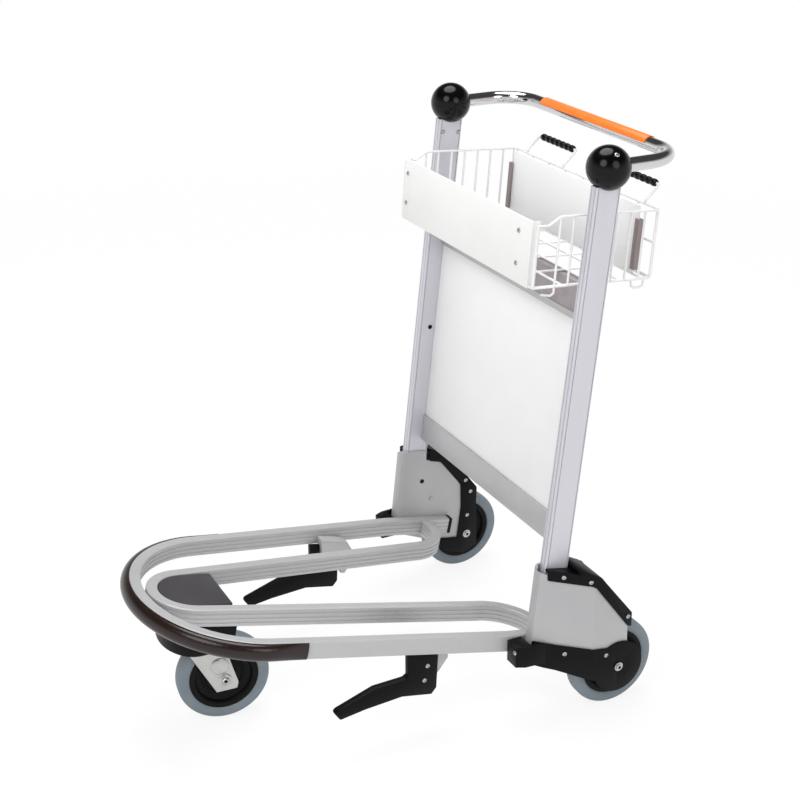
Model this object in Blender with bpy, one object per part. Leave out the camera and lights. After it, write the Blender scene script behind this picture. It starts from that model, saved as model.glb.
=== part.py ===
import math
import bpy
import bmesh
from mathutils import Matrix, Vector

for old in list(bpy.data.objects):
    bpy.data.objects.remove(old, do_unlink=True)

mm = 0.001
clear = 0.3

uprightX = 262.0
uprightWide = 20.0
uprightDeep = 47.0
uprightWall = 2.0
leanDeg = 6.2
pivotY = 300.0
pivotZ = 993.0
ballRadius = 37.0
ballWall = 4.0

railWide = 20.0
railHigh = 32.0
baseZ = 194.0
baseSlopeDeg = 11.31
outerRearX = 238.2
outerNoseCentre = -258.0
outerTaper = 0.12
innerNoseCentre = -346.0
innerRearX = 124.0
innerTaper = 0.11
bumperThick = 5.0
bumperHigh = 28.0
bumperEndY = -217.0

wheelRadius = 83.0
tyreDeep = 21.0
coreRadius = wheelRadius - tyreDeep
rimDeep = 10.0
tyreWide = 32.0
rearWheelX = 281.0
rearWheelY = 335.6
axleRadius = 6.0
swivelY = -340.0
casterTrail = 40.0
swivelRestDeg = -8.0

bracketInX = 248.7
bracketOutX = 310.0
sheet = 3.0

tubeRadius = 12.0
handleBackY = 448.0
handleBend = 68.0
labelHalf = 166.0

basketY = 180.0
basketZ = 797.0
basketTiltDeg = 4.57
basketDeep = 236.0
basketHalf = 230.0
basketHigh = 122.0
wire = 4.0

lean = math.radians(leanDeg)
sinL, cosL = math.sin(lean), math.cos(lean)
baseTilt = math.radians(baseSlopeDeg)

finishes = {
    "alu": ((0.72, 0.72, 0.74, 1), 0.9, 0.38),
    "black": ((0.012, 0.012, 0.013, 1), 0.0, 0.35),
    "white": ((0.86, 0.86, 0.86, 1), 0.0, 0.4),
    "tyre": ((0.30, 0.34, 0.37, 1), 0.0, 0.6),
    "chrome": ((0.80, 0.80, 0.81, 1), 1.0, 0.12),
    "zinc": ((0.66, 0.66, 0.68, 1), 1.0, 0.35),
    "deck": ((0.06, 0.06, 0.065, 1), 0.0, 0.6),
    "orange": ((0.91, 0.24, 0.03, 1), 0.0, 0.45),
    "bumper": ((0.035, 0.026, 0.024, 1), 0.0, 0.5),
    "steel": ((0.55, 0.55, 0.56, 1), 1.0, 0.3),
    "channel": ((0.42, 0.37, 0.36, 1), 0.8, 0.45),
}


def addObject(name, bm, finish):
    bmesh.ops.remove_doubles(bm, verts=bm.verts, dist=1e-7)
    bmesh.ops.recalc_face_normals(bm, faces=bm.faces)
    mesh = bpy.data.meshes.new(name)
    bm.to_mesh(mesh)
    bm.free()
    obj = bpy.data.objects.new(name, mesh)
    bpy.context.scene.collection.objects.link(obj)
    if finish:
        mat = bpy.data.materials.new(name + "_finish")
        mat.use_nodes = True
        shader = mat.node_tree.nodes["Principled BSDF"]
        colour, metal, rough = finishes[finish]
        shader.inputs["Base Color"].default_value = colour
        shader.inputs["Metallic"].default_value = metal
        shader.inputs["Roughness"].default_value = rough
        mesh.materials.append(mat)
    return obj


def boolean(obj, other, how):
    mod = obj.modifiers.new(how, "BOOLEAN")
    mod.operation = how
    mod.solver = "EXACT"
    mod.object = other
    graph = bpy.context.evaluated_depsgraph_get()
    graph.update()
    fresh = bpy.data.meshes.new_from_object(obj.evaluated_get(graph))
    stale = obj.data
    obj.modifiers.clear()
    obj.data = fresh
    bpy.data.meshes.remove(stale)
    bpy.data.objects.remove(other, do_unlink=True)
    return obj


def cut(obj, other):
    return boolean(obj, other, "DIFFERENCE")


def join(obj, other):
    return boolean(obj, other, "UNION")


def keep(obj, other):
    return boolean(obj, other, "INTERSECT")


def place(obj, matrix):
    obj.data.transform(matrix)
    if matrix.determinant() < 0:
        obj.data.flip_normals()
    return obj


def prism(name, points, x0, x1, finish=None):
    bm = bmesh.new()
    low = [bm.verts.new((x0 * mm, y * mm, z * mm)) for y, z in points]
    high = [bm.verts.new((x1 * mm, y * mm, z * mm)) for y, z in points]
    bm.faces.new(low)
    bm.faces.new(list(reversed(high)))
    n = len(points)
    for i in range(n):
        j = (i + 1) % n
        bm.faces.new((low[i], high[i], high[j], low[j]))
    return addObject(name, bm, finish)


def plate(name, points, z0, z1, finish=None):
    bm = bmesh.new()
    low = [bm.verts.new((x * mm, y * mm, z0 * mm)) for x, y in points]
    high = [bm.verts.new((x * mm, y * mm, z1 * mm)) for x, y in points]
    bm.faces.new(low)
    bm.faces.new(list(reversed(high)))
    n = len(points)
    for i in range(n):
        j = (i + 1) % n
        bm.faces.new((low[i], high[i], high[j], low[j]))
    return addObject(name, bm, finish)


def block(name, x0, x1, y0, y1, z0, z1, finish=None):
    return prism(name, [(y0, z0), (y1, z0), (y1, z1), (y0, z1)], x0, x1, finish)


def lathe(name, profile, steps=48, finish=None, closed=True):
    # profile is (along x, radius), turned about the X axis
    bm = bmesh.new()
    rings = []
    for i in range(steps):
        a = 2 * math.pi * i / steps
        rings.append([bm.verts.new((x * mm, r * mm * math.cos(a), r * mm * math.sin(a))) for x, r in profile])
    n = len(profile)
    for i in range(steps):
        p, q = rings[i], rings[(i + 1) % steps]
        for k in range(n if closed else n - 1):
            m = (k + 1) % n
            bm.faces.new((p[k], q[k], q[m], p[m]))
    if not closed:
        bm.faces.new([ring[0] for ring in rings])
        bm.faces.new([ring[-1] for ring in reversed(rings)])
    return addObject(name, bm, finish)


def rod(name, radius, x0, x1, steps=24, finish=None):
    return lathe(name, [(x0, radius), (x1, radius)], steps, finish, closed=False)


def sweep(name, path, section, finish=None, up=Vector((0, 0, 1))):
    # section is (side, up) about each path point, ends capped
    bm = bmesh.new()
    pts = [Vector(p) for p in path]
    rings = []
    for i, p in enumerate(pts):
        before = (p - pts[i - 1]).normalized() if i else (pts[1] - p).normalized()
        after = (pts[i + 1] - p).normalized() if i < len(pts) - 1 else before
        along = (before + after).normalized()
        side = along.cross(up).normalized()
        top = side.cross(along).normalized()
        grow = 1.0 / max(0.5, along.dot(before))
        turn = (after - before)
        ring = []
        for s, t in section:
            ds = side * s
            dt = top * t
            if turn.length > 1e-6:
                bend = (turn - along * turn.dot(along)).normalized()
                off = ds + dt
                off = off + bend * off.dot(bend) * (grow - 1.0)
                ring.append(bm.verts.new((p + off) * mm))
            else:
                ring.append(bm.verts.new((p + ds + dt) * mm))
        rings.append(ring)
    n = len(section)
    for i in range(len(rings) - 1):
        for k in range(n):
            m = (k + 1) % n
            bm.faces.new((rings[i][k], rings[i + 1][k], rings[i + 1][m], rings[i][m]))
    bm.faces.new(rings[0])
    bm.faces.new(list(reversed(rings[-1])))
    return addObject(name, bm, finish)


def circle(radius, steps=16):
    return [(radius * math.cos(2 * math.pi * i / steps), radius * math.sin(2 * math.pi * i / steps)) for i in range(steps)]


def arc(cx, cy, radius, a0, a1, steps):
    return [(cx + radius * math.cos(math.radians(a0 + (a1 - a0) * i / steps)),
             cy + radius * math.sin(math.radians(a0 + (a1 - a0) * i / steps))) for i in range(steps + 1)]


def lattice(name, bars, finish, thick):
    # bars are rectangles (u0, u1, v0, v1) on one plane, laid on the X axis as thickness
    us = sorted({round(b[i], 4) for b in bars for i in (0, 1)})
    vs = sorted({round(b[i], 4) for b in bars for i in (2, 3)})
    bm = bmesh.new()
    grid = {}

    def vert(i, j, k):
        key = (i, j, k)
        if key not in grid:
            grid[key] = bm.verts.new((k * thick * mm, us[i] * mm, vs[j] * mm))
        return grid[key]

    def solid(i, j):
        if not (0 <= i < len(us) - 1 and 0 <= j < len(vs) - 1):
            return False
        u = (us[i] + us[i + 1]) / 2
        v = (vs[j] + vs[j + 1]) / 2
        return any(b[0] < u < b[1] and b[2] < v < b[3] for b in bars)

    for i in range(len(us) - 1):
        for j in range(len(vs) - 1):
            if not solid(i, j):
                continue
            for k in (0, 1):
                bm.faces.new((vert(i, j, k), vert(i + 1, j, k), vert(i + 1, j + 1, k), vert(i, j + 1, k)))
            for di, dj, a, b in ((-1, 0, (0, 0), (0, 1)), (1, 0, (1, 0), (1, 1)), (0, -1, (0, 0), (1, 0)), (0, 1, (0, 1), (1, 1))):
                if not solid(i + di, j + dj):
                    p = (i + a[0], j + a[1])
                    q = (i + b[0], j + b[1])
                    bm.faces.new((vert(*p, 0), vert(*q, 0), vert(*q, 1), vert(*p, 1)))
    return addObject(name, bm, finish)


def shift(x, y, z):
    return Matrix.Translation((x * mm, y * mm, z * mm))


# base: both rails, bumper and deck are drawn flat with their tops at zero, then tilted up to the nose
tiltBase = shift(0, 0, baseZ) @ Matrix.Rotation(-baseTilt, 4, "X")


def localY(y):
    return y / math.cos(baseTilt)


def taperLoop(rearX, taper, noseY, rearY, straightY):
    ang = math.degrees(math.atan(taper))
    radius = (rearX + taper * (noseY - straightY)) * math.cos(math.atan(taper))
    half = [(rearX, rearY), (rearX, straightY)]
    half += arc(0, noseY, radius, -ang, -90, 14)
    return half


outerHalf = taperLoop(outerRearX, outerTaper, localY(outerNoseCentre), localY(270.0), localY(150.0))
outerPath = [(x, y, 0) for x, y in outerHalf] + [(-x, y, 0) for x, y in reversed(outerHalf[:-1])]
railSection = [(-railWide / 2, -railHigh), (railWide / 2, -railHigh), (railWide / 2, 0), (-railWide / 2, 0)]
outerRail = place(sweep("base_outer_rail", outerPath, railSection, "alu"), tiltBase)

innerEndX = outerRearX - railWide / 2 - clear
innerBend = 85.0
innerTurnY = localY(150.0)
innerHalf = [(innerEndX, innerTurnY + innerBend)]
innerHalf += arc(innerRearX + innerBend, innerTurnY, innerBend, 90, 180, 8)
innerHalf += taperLoop(innerRearX, innerTaper, localY(innerNoseCentre), innerTurnY, innerTurnY)[2:]
innerPath = [(x, y, 0) for x, y in innerHalf] + [(-x, y, 0) for x, y in reversed(innerHalf[:-1])]
innerRail = place(sweep("base_inner_rail", innerPath, railSection, "alu"), tiltBase)

edge = railWide / 2 + clear
bumperHalf = [p for p in outerHalf if p[1] < localY(bumperEndY) - 4]
first = Vector(outerHalf[1])
second = Vector(outerHalf[2])
share = (localY(bumperEndY) - first.y) / (second.y - first.y)
start = first.lerp(second, min(0.98, max(0.02, share)))
bumperHalf = [(start.x, start.y)] + [p for p in bumperHalf if p[1] < start.y - 2]
bumperPath = [(x, y, 0) for x, y in bumperHalf] + [(-x, y, 0) for x, y in reversed(bumperHalf[:-1])]
drop = (railHigh - bumperHigh) / 2
bumperSection = [(-edge - bumperThick, -railHigh + drop + 3), (-edge - bumperThick + 2, -railHigh + drop), (-edge, -railHigh + drop),
                 (-edge, -drop), (-edge - bumperThick + 2, -drop), (-edge - bumperThick, -drop - 3)]
probe = Vector(bumperPath[1]) - Vector(bumperPath[0])
if probe.cross(Vector((0, 0, 1))).x > 0:
    bumperSection = [(-s, t) for s, t in bumperSection]
bumper = place(sweep("nose_bumper", bumperPath, bumperSection, "bumper"), tiltBase)

innerRadius = (innerRearX + innerTaper * (localY(innerNoseCentre) - innerTurnY)) * math.cos(math.atan(innerTaper))
deckRadius = innerRadius - railWide / 2 - clear - 0.2
deckEnd = localY(-292.0)
deckPts = arc(0, localY(innerNoseCentre), deckRadius, 180, 360, 20)
deckPts = [(deckRadius, deckEnd), (-deckRadius, deckEnd)] + deckPts
deck = place(plate("nose_deck_plate", deckPts, -9, -1, "deck"), tiltBase)

# caster housing hangs under the inner rail's nose, its underside level
houseRadius = innerRadius + railWide / 2 + 1
houseFloor = 2 * wheelRadius + 11.5
houseEnd = localY(-288.0)
housePts = [(houseRadius, houseEnd), (-houseRadius, houseEnd)] + arc(0, localY(innerNoseCentre), houseRadius, 180, 360, 24)
housing = place(plate("caster_housing", housePts, -120, -railHigh - clear, "black"), tiltBase)
cut(housing, block("trim", -300, 300, -700, 100, -200, houseFloor))
stemRadius = 9.0
stemBore = place(rod("bore", stemRadius + clear + 0.1, -baseZ, 60), shift(0, swivelY, houseFloor) @ Matrix.Rotation(math.pi / 2, 4, "Y"))
cut(housing, stemBore)

# the swivel group is drawn with the wheel straight, then turned to the photographed rest
turnCaster = shift(0, swivelY, 0) @ Matrix.Rotation(math.radians(swivelRestDeg), 4, "Z") @ shift(0, -swivelY, 0)
crownLow = 2 * wheelRadius + 3
crownTop = crownLow + 4
forkIn = 20.5
forkOut = 23.5
axleY = swivelY + casterTrail
fork = block("caster_fork", -forkOut, forkOut, swivelY - 30, swivelY + 32, crownLow, crownTop, "zinc")
sidePts = [(swivelY - 30, crownTop), (swivelY + 32, crownTop), (axleY + 19, wheelRadius + 12), (axleY + 16, wheelRadius - 16),
           (axleY - 12, wheelRadius - 20), (swivelY - 30, wheelRadius + 40)]
for s in (-1, 1):
    join(fork, prism("side", sidePts, s * forkIn, s * forkOut))
cut(fork, place(rod("hole", axleRadius + clear, -60, 60), shift(0, axleY, wheelRadius)))
place(fork, turnCaster)
collar = houseFloor - crownTop - clear
stem = lathe("caster_stem", [(clear, 22), (collar - clear, 22), (collar - clear, stemRadius), (30, stemRadius)], 32, "steel", closed=False)
place(stem, shift(0, swivelY, crownTop) @ Matrix.Rotation(-math.pi / 2, 4, "Y"))

hubHalf = 19.0
coreProfile = [(-hubHalf, axleRadius + clear), (hubHalf, axleRadius + clear), (hubHalf, 20), (6, 24), (6, coreRadius - rimDeep - 4), (14.5, coreRadius - rimDeep), (14.5, coreRadius),
               (-14.5, coreRadius), (-14.5, coreRadius - rimDeep), (-6, coreRadius - rimDeep - 4), (-6, 24), (-hubHalf, 20)]
half = tyreWide / 2
tyreProfile = [(-14, coreRadius + clear), (14, coreRadius + clear), (half, coreRadius + 5), (half, wheelRadius - 8), (half - 2.5, wheelRadius - 2.5), (half - 7, wheelRadius),
               (-half + 7, wheelRadius), (-half + 2.5, wheelRadius - 2.5), (-half, wheelRadius - 8), (-half, coreRadius + 5)]
frontSpot = turnCaster @ shift(0, axleY, wheelRadius)
place(lathe("front_wheel_core", coreProfile, 48, "black"), frontSpot)
place(lathe("front_tyre", tyreProfile, 64, "tyre"), frontSpot)
headAt = forkOut + clear
place(lathe("front_axle", [(-headAt - 6, 9), (-headAt, 9), (-headAt, axleRadius), (headAt, axleRadius), (headAt, 9), (headAt + 6, 9)], 24, "steel", closed=False), frontSpot)

# uprights, cross rails and back board share the leaned frame, its origin on the handle axis
leanFrame = shift(0, pivotY, pivotZ) @ Matrix.Rotation(-lean, 4, "X")


def leanPoint(y, s):
    return (pivotY + y * cosL - s * sinL, pivotZ - s * cosL - y * sinL)


uprightEnd = 858.0
uprightTop = -12.0
hw, hd = uprightWide / 2, uprightDeep / 2
pinRadius = 4.0
rodOffset = 10.0
rodRadius = 4.0
rodTop = 9.5
rodEnd = 792.0
crankHalf = 4.0

railFront = 6.0
railThick = 17.0
lowRailTop = 625.0
lowRailHigh = 52.0
fall = math.tan(math.radians(basketTiltDeg))
highRailTop = (pivotZ - railFront * sinL - basketZ + fall * (pivotY + railFront * cosL - basketY) + 0.5) / (cosL + fall * sinL)
highRailHigh = 48.0
crossX = uprightX - hw - clear

for name, side in (("left", 1), ("right", -1)):
    spot = leanFrame @ shift(side * uprightX, 0, 0)
    post = block("upright_" + name, -hw, hw, -hd, hd, -uprightEnd, -uprightTop, "alu")
    cut(post, block("hollow", -hw + uprightWall, hw - uprightWall, -hd + uprightWall, hd - uprightWall, -uprightEnd - 20, -uprightTop + 20))
    cut(post, block("slot", -hw + uprightWall, hw - uprightWall, 0, hd + 20, -40, 40))
    cut(post, block("leverSlot", -6.5, 6.5, 0, hd + 20, -uprightEnd - 20, -760))
    cut(post, place(rod("hole", pinRadius + clear, -40, 40, 16), Matrix.Identity(4)))
    place(post, spot)

    bm = bmesh.new()
    bmesh.ops.create_uvsphere(bm, u_segments=40, v_segments=24, radius=ballRadius * mm)
    ball = addObject("ball_cap_" + name, bm, "black")
    bm = bmesh.new()
    bmesh.ops.create_uvsphere(bm, u_segments=32, v_segments=16, radius=(ballRadius - ballWall) * mm)
    cut(ball, addObject("hollow", bm, None))
    cut(ball, place(block("foot", -hw - clear, hw + clear, -hd - clear, hd + clear, -80, 0), Matrix.Rotation(-lean, 4, "X")))
    cut(ball, block("mouth", -tubeRadius - 1, tubeRadius + 1, 8, 80, -20, tubeRadius + 1))
    place(ball, shift(side * uprightX, pivotY, pivotZ))

    crank = rod("handle_crank_" + name, 10, -crankHalf, crankHalf, 32, "steel")
    join(crank, block("arm", -crankHalf, crankHalf, 0, 26, -8, 8))
    cut(crank, rod("hole", pinRadius + clear, -40, 40, 16))
    place(crank, shift(side * uprightX, pivotY, pivotZ))
    place(rod("handle_pivot_" + name, pinRadius, -14, 14, 16, "steel"), shift(side * uprightX, pivotY, pivotZ))

    rodSpot = leanFrame @ shift(side * uprightX, rodOffset, 0)
    place(rod("brake_rod_" + name, rodRadius, rodTop, rodEnd, 16, "steel"), rodSpot @ Matrix.Rotation(math.pi / 2, 4, "Y"))

cross = block("lower_cross_rail", -crossX, crossX, railFront, railFront + railThick, -lowRailTop - lowRailHigh, -lowRailTop, "alu")
place(cross, leanFrame)
cross = block("upper_cross_rail", -crossX, crossX, railFront, railFront + railThick, -highRailTop - highRailHigh, -highRailTop, "alu")
place(cross, leanFrame)
board = block("back_board", -crossX, crossX, railFront + 4, railFront + 12, -lowRailTop + clear, -highRailTop - highRailHigh - clear, "white")
place(board, leanFrame)

# handle: a U of tube from one ball to the other, flat at the height of its pivots
armY = pivotY + 26 + clear
handleHalf = [(uprightX, armY), (uprightX, handleBackY - handleBend)]
handleHalf += arc(uprightX - handleBend, handleBackY - handleBend, handleBend, 0, 90, 10)[1:]
handlePath = [(x, y, pivotZ) for x, y in handleHalf] + [(-x, y, pivotZ) for x, y in reversed(handleHalf)]
handle = sweep("handle_tube", handlePath, circle(tubeRadius, 20), "chrome")
labelIn = tubeRadius + clear
label = lathe("handle_label_sleeve", [(-labelHalf, labelIn), (labelHalf, labelIn), (labelHalf, labelIn + 1.2), (-labelHalf, labelIn + 1.2)], 40, "orange")
place(label, shift(0, handleBackY, pivotZ))

# rear brackets: a folded sheet round the upright's foot, flaring out to a fork for the wheel
bracketLow = 60.0
bracketTop = 297.0


def bracketRing(z, offset):
    frontY = leanPoint(-hd - 12.0, 0)[0] - (pivotZ - z) * math.tan(lean)
    x0 = bracketInX - offset
    x1 = uprightX + hw + 5.5 + offset
    x2 = bracketOutX + offset
    f = frontY - offset
    flareY = 281.0
    rearY = 360.0
    return [(x0, rearY), (x0, f + 9), (x0 + 4.5, f + 2), (x0 + 10.5, f), (x1 - 10.5, f), (x1 - 4.5, f + 2), (x1, f + 9), (x2, flareY), (x2, rearY)]


def foldedSheet(name, outOffset, inOffset, z0, z1, finish):
    bm = bmesh.new()
    rings = []
    for z in (z0, z1):
        outer = bracketRing(z, outOffset)
        inner = list(reversed(bracketRing(z, inOffset)))
        rings.append([bm.verts.new((x * mm, y * mm, z * mm)) for x, y in outer + inner])
    n = len(rings[0])
    for k in range(n):
        m = (k + 1) % n
        # every layer of the fold takes the same diagonal, so layers laid on one another stay parallel
        a, b = (k, m) if k < n // 2 else (m, k)
        bm.faces.new((rings[0][a], rings[0][b], rings[1][b]))
        bm.faces.new((rings[0][a], rings[1][b], rings[1][a]))
    count = n // 2
    for ring in rings:
        for k in range(count - 1):
            bm.faces.new((ring[k], ring[k + 1], ring[n - 2 - k], ring[n - 1 - k]))
    return addObject(name, bm, finish)


mirror = Matrix.Diagonal((-1, 1, 1, 1))
leverPivotY, leverPivotZ = 254.0, 183.0
brakeGap = 1.0
roofFront = 200.5
inEdge = [(150, 132), (215, 104), (270, 78), (313, 66), (316.5, 74), (332, 185), (274.6, 262), (243, 271), (243, 292), (150, 310)]
outEdge = [(150, 132), (215, 104), (270, 78), (300, 66), (340, 62), (354, 84), (354, 117), (353, 166), (281, 264), (186, 292), (150, 310)]
diskY, diskZ, diskR = rearWheelY, wheelRadius, 50.0

for name, side in (("left", 1), ("right", -1)):
    flip = Matrix.Identity(4) if side > 0 else mirror

    bracket = foldedSheet("rear_bracket_" + name, 0, -sheet, bracketLow, bracketTop, "alu")
    trim = prism("trim", inEdge, 200, 262)
    join(trim, prism("trim2", outEdge, 261, 360))
    keep(bracket, trim)
    boss = place(rod("boss", 14, bracketInX, bracketInX + sheet, 32), shift(0, rearWheelY, wheelRadius))
    join(bracket, boss)
    tab = prism("tab", [(300, 70), (rearWheelY, 70), (rearWheelY, 97), (305, 110)], bracketInX, bracketInX + sheet)
    join(bracket, tab)
    cut(bracket, place(rod("hole", axleRadius + clear, 200, 360), shift(0, rearWheelY, wheelRadius)))
    cut(bracket, place(rod("hole2", pinRadius + clear, 200, uprightX), shift(0, leverPivotY, leverPivotZ)))
    place(bracket, flip)

    wheelSpot = flip @ shift(rearWheelX, rearWheelY, wheelRadius)
    place(lathe("rear_wheel_core_" + name, coreProfile, 48, "black"), wheelSpot)
    place(lathe("rear_tyre_" + name, tyreProfile, 64, "tyre"), wheelSpot)
    axIn, axOut = bracketInX - 4.2 - rearWheelX, bracketOutX + 4.2 - rearWheelX
    place(lathe("rear_axle_" + name, [(axIn - 5, 9), (axIn, 9), (axIn, axleRadius), (axOut, axleRadius), (axOut, 9), (axOut + 5, 9)], 24, "steel", closed=False), wheelSpot)

    # the lower guard lies along the outside of the fold and ends in a disc over the hub
    low = foldedSheet("lower_guard_" + name, 3.3, clear, bracketLow, bracketTop, "black")
    keep(low, prism("trim", [(168, 182), (168, 118), (215, 100), (270, 74), (300, bracketLow + 1), (359, bracketLow + 1), (359, 119), (281, 132)], 277, 330))
    join(low, plate("clip", [(bracketInX, 142), (278, 142), (286, 158), (289, 196), (283.7, 196), (280, 181), (280, 169), (bracketInX, 169)], 118, 158))
    cut(low, foldedSheet("bite", clear - 0.05, -sheet, bracketLow, bracketTop, None))
    disk = place(rod("disk", diskR, bracketOutX + clear, bracketOutX + 3.3, 40), shift(0, diskY, diskZ))
    join(low, disk)
    cut(low, place(rod("hole", axleRadius + clear, 200, 360), shift(0, rearWheelY, wheelRadius)))
    place(low, flip)

    inner = place(rod("inner_guard_" + name, diskR, bracketInX - 3.3, bracketInX - clear, 40, "black"), shift(0, diskY, diskZ))
    join(inner, prism("band", [(318, 78), (325, 185), (330, 189), (358, 170), (359, 150), (352, 84)], bracketInX - 3.3, bracketInX - clear))
    join(inner, prism("bar", [(288, 62), (330, 52), (330, 80), (290, 80)], bracketInX - 3.3, bracketInX - clear))
    cut(inner, place(rod("hole", axleRadius + clear, 200, 360), shift(0, rearWheelY, wheelRadius)))
    place(inner, flip)

    # the upper guard is a saddle over the open top of the fold
    up = foldedSheet("upper_guard_" + name, 3.3, clear, bracketLow, bracketTop, "black")
    lip = prism("lip", [(roofFront, 278.5), (272, 262), (281, 257.5), (351, 163), (359, 160), (359, 188), (292, 274), (284, 279.5), (roofFront, 298)], 278, 330)
    lipIn = prism("lipIn", [(243, 271), (274, 261.5), (330, 192), (359, 173), (359, 186), (292, 276), (281, 281), (243, 300)], 240, 252)
    join(lip, lipIn)
    keep(up, lip)
    cover = prism("cover", [(250, 288), (281, 270), (359, 173), (359, 185), (292, 274.5), (284, 281), (262, 292.5), (250, 294)], bracketInX - 3.3, bracketOutX + 3.3)
    join(up, cover)
    cut(up, block("mouth", 240, 279, 150, 250, 100, 400))
    # beside the upright a narrow roof closes the gap to the lip
    roofIn = uprightX + uprightWide / 2 + clear + 0.1
    roof = prism("roof", [(roofFront, 297.5), (256, 285.4), (256, 281), (roofFront, 292.5)], roofIn, bracketOutX + 2)
    keep(roof, plate("roofPlan", [(roofIn, roofFront), (282.2, roofFront), (303.6, 256), (roofIn, 256)], 200, 400))
    join(up, roof)
    place(up, flip)

    pin = rod("brake_pin_" + name, pinRadius, bracketInX - 2, rearWheelX, 16, "steel")
    place(pin, flip @ shift(0, leverPivotY, leverPivotZ))
    rodY, rodZ = leanPoint(rodOffset, rodEnd)
    # the shoe ends short of the line from the wheel's centre to the pin, so all of it leaves the tyre
    shoeTurns = (101, 106, 111, 116, 121, 126)
    shoe = [(rearWheelY + (wheelRadius + brakeGap) * math.cos(math.radians(a)), wheelRadius + (wheelRadius + brakeGap) * math.sin(math.radians(a))) for a in shoeTurns]
    shoeTop = [(rearWheelY + (wheelRadius + 13) * math.cos(math.radians(a)), wheelRadius + (wheelRadius + 13) * math.sin(math.radians(a))) for a in reversed(shoeTurns)]
    lever = prism("brake_lever_" + name, [(rodY - 5, rodZ - 1.2), (rodY + 6, rodZ - 1.2), (leverPivotY, leverPivotZ + 9), (292, 178), (297, 172), shoe[2], shoe[4], (leverPivotY - 2, leverPivotZ - 9), (rodY + 2, rodZ - 16), (rodY - 5, rodZ - 14)],
                  uprightX - 4, uprightX + 4, "steel")
    join(lever, prism("shoe", shoe + shoeTop, uprightX - 3.5, rearWheelX + half - 1))
    cut(lever, place(rod("hole", pinRadius + clear, 200, 360, 16), shift(0, leverPivotY, leverPivotZ)))
    place(lever, flip)

    # skid arms under the base
    armX = 201.0
    hang = prism("arm_bracket_" + name, [(-30, 190), (56, 175), (54, 128), (30, 84), (-20, 98)], armX - 12, armX - clear, "alu")
    cut(hang, place(block("rail", 100, 300, -300, 300, -railHigh - clear, 60), tiltBase))
    place(hang, flip)
    arm = prism("skid_arm_" + name, [(-36, 190), (28, 180), (20, 78), (10, 66.5), (-48, 79), (-120, 75), (-166, 69), (-176, 84), (-172, 89), (-100, 112), (-42, 113), (-36, 117)], armX, armX + 14, "black")
    cut(arm, place(block("rail", 100, 300, -300, 300, -railHigh - clear, 60), tiltBase))
    place(arm, flip)

# basket: flat grilles in a frame tipped a little to the rear, standing on the upper cross rail
basketFrame = shift(0, basketY, basketZ) @ Matrix.Rotation(-math.radians(basketTiltDeg), 4, "X")
flat = Matrix(((0, 1, 0, 0), (0, 0, 1, 0), (1, 0, 0, 0), (0, 0, 0, 1)))
place(block("basket_front_board", -222, 222, -3, 0, 0, 112, "white"), basketFrame)
bars = []
inside = basketHalf - clear
for i in range(7):
    u = -inside + wire / 2 + (2 * inside - wire) * i / 6
    bars.append((u - wire / 2, u + wire / 2, clear, basketDeep))
boardAt = basketDeep - 19
for v in (clear + wire / 2, basketDeep * 0.26, basketDeep * 0.5, basketDeep * 0.74, boardAt + 2, basketDeep - wire / 2):
    bars.append((-inside, inside, v - wire / 2, v + wire / 2))
place(lattice("basket_floor_grid", bars, "white", wire), basketFrame @ flat)
for name, side in (("left", 1), ("right", -1)):
    bars = [(clear, basketDeep, 0, wire), (42, basketDeep, basketHigh - wire, basketHigh), (clear, 46, 104, 108), (42, 46, 104, basketHigh),
            (clear, clear + wire, 0, 108), (basketDeep - wire, basketDeep, 0, basketHigh)]
    for v in (70, 98, 126, 154, 182, 210):
        bars.append((v - wire / 2, v + wire / 2, 0, basketHigh))
    grid = lattice("basket_side_grid_" + name, bars, "white", wire)
    place(grid, basketFrame @ (Matrix.Identity(4) if side > 0 else mirror) @ shift(basketHalf, 0, 0))
rearAt = basketDeep + clear
bars = [(-basketHalf, basketHalf, 0, wire), (-basketHalf, basketHalf, basketHigh - wire, basketHigh), (-basketHalf, basketHalf, 60, 60 + wire)]
for i in range(9):
    u = -basketHalf + wire / 2 + (2 * basketHalf - wire) * i / 8
    bars.append((u - wire / 2, u + wire / 2, 0, basketHigh))
turnRear = Matrix(((0, 1, 0, 0), (1, 0, 0, 0), (0, 0, 1, 0), (0, 0, 0, 1)))
place(lattice("basket_rear_grid", bars, "white", wire), basketFrame @ shift(0, rearAt, 0) @ turnRear)
place(block("basket_rear_board", -204, 204, boardAt, boardAt + 4, wire + clear, basketHigh, "white"), basketFrame)
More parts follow.
